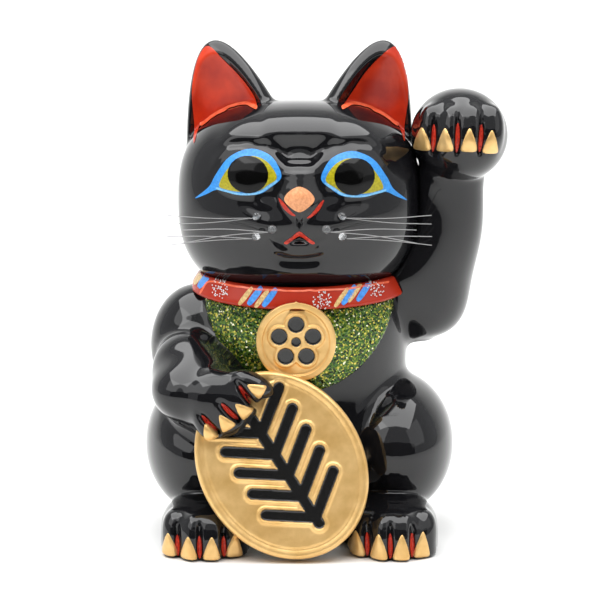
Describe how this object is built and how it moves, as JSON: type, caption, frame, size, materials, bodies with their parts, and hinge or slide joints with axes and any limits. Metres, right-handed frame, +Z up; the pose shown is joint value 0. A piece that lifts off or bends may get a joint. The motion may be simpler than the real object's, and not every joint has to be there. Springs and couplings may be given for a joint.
{
  "type": "beckoning cat figurine",
  "caption": "Seated glazed ceramic beckoning cat coin bank with one raised paw, oval coin, collar, medallion, whiskers and a rubber base stopper.",
  "frame": {"origin": "on the surface the cat stands on, under the middle of the torso", "axes": "+Z up, the cat faces -Y, and its raised left arm is on +X"},
  "size_m": [0.1824, 0.1496, 0.2474],
  "materials": {
    "black_glaze": "high gloss black glaze",
    "bare_clay": "unglazed",
    "stopper_rubber": "matt",
    "red_glaze": "gloss red with painted strokes",
    "green_glitter": "coarse green glitter under clear lacquer",
    "gold_lustre": "gold paint over glaze",
    "whisker_nylon": "clear nylon line",
    "clear_glue": "clear set glue"
  },
  "bodies": {
    "figure": {"torso_shell": "black_glaze", "base_plate": "bare_clay", "head_shell": "black_glaze", "left_ear": "black_glaze", "right_ear": "black_glaze", "left_arm": "black_glaze", "right_arm": "black_glaze", "left_leg": "black_glaze", "right_leg": "black_glaze", "tail": "black_glaze", "collar": "red_glaze", "bib": "green_glitter", "medallion": "gold_lustre", "koban": "gold_lustre", "right_upper_whiskers": "whisker_nylon", "right_middle_whiskers": "whisker_nylon", "right_lower_whiskers": "whisker_nylon", "left_upper_whiskers": "whisker_nylon", "left_middle_whiskers": "whisker_nylon", "left_lower_whiskers": "whisker_nylon", "whisker_glue": "clear_glue"},
    "plug": {"stopper": "stopper_rubber"}
  },
  "joints": [
    {"name": "stopper_pull", "type": "slide", "parent": "figure", "child": "plug", "axis": [0, 0, -1], "range_m": [0, 0.014]}
  ]
}
